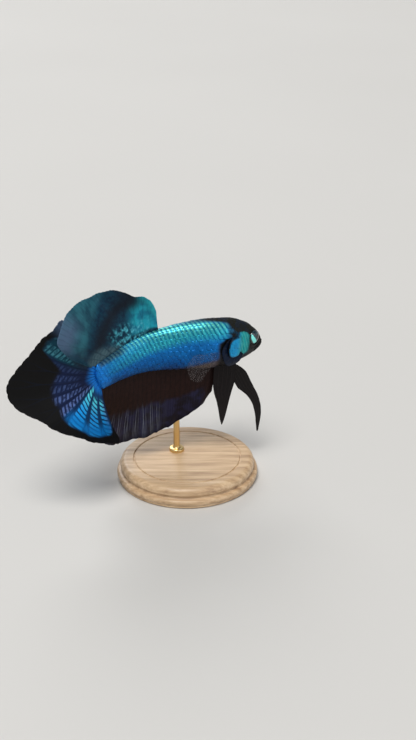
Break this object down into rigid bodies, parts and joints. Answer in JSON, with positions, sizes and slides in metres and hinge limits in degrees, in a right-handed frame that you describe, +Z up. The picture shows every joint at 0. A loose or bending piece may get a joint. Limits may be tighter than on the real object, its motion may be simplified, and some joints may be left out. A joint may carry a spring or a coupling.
{
  "type": "betta fish model",
  "caption": "Life-size still model of a male half-moon betta fish turning in the water with raised gill covers, held by a rod on a round wooden base.",
  "frame": {"origin": "middle of the stand's underside, on the surface it stands on", "axes": "+X ahead, the way the fish swims and the longest extent; +Z up; the fish's right flank faces -Y"},
  "size_m": [0.0601, 0.0403, 0.0521],
  "materials": {
    "dark_skin": "wet, dark green-black head skin with turquoise flecks",
    "blue_gill_cover": "wet, iridescent turquoise and blue",
    "black_membrane": "wet, soft brown-black membrane",
    "eye": "wet gloss, black pupil with a cyan rim",
    "turquoise_scales": "iridescent blue and turquoise scales",
    "blue_fin": "thin blue webs between rays, black-brown margin",
    "dark_fin": "maroon-black at the base, violet-blue towards the edge",
    "clear_fin": "nearly clear, pale rays",
    "pale_wood": "satin-varnished pale maple",
    "brass_rod": "brushed"
  },
  "bodies": {
    "root": {"head": "dark_skin", "lower_jaw": "dark_skin", "gill_cover_left": "blue_gill_cover", "gill_cover_right": "blue_gill_cover", "gill_membrane_left": "black_membrane", "gill_membrane_right": "black_membrane", "eye_left": "eye", "eye_right": "eye", "trunk": "turquoise_scales", "tail_stalk": "turquoise_scales", "dorsal_fin": "blue_fin", "anal_fin": "dark_fin", "caudal_fin": "blue_fin", "pectoral_fin_left": "clear_fin", "pectoral_fin_right": "clear_fin", "pelvic_fin_left": "black_membrane", "pelvic_fin_right": "black_membrane", "stand_base": "pale_wood", "stand_rod": "brass_rod"}
  },
  "joints": []
}
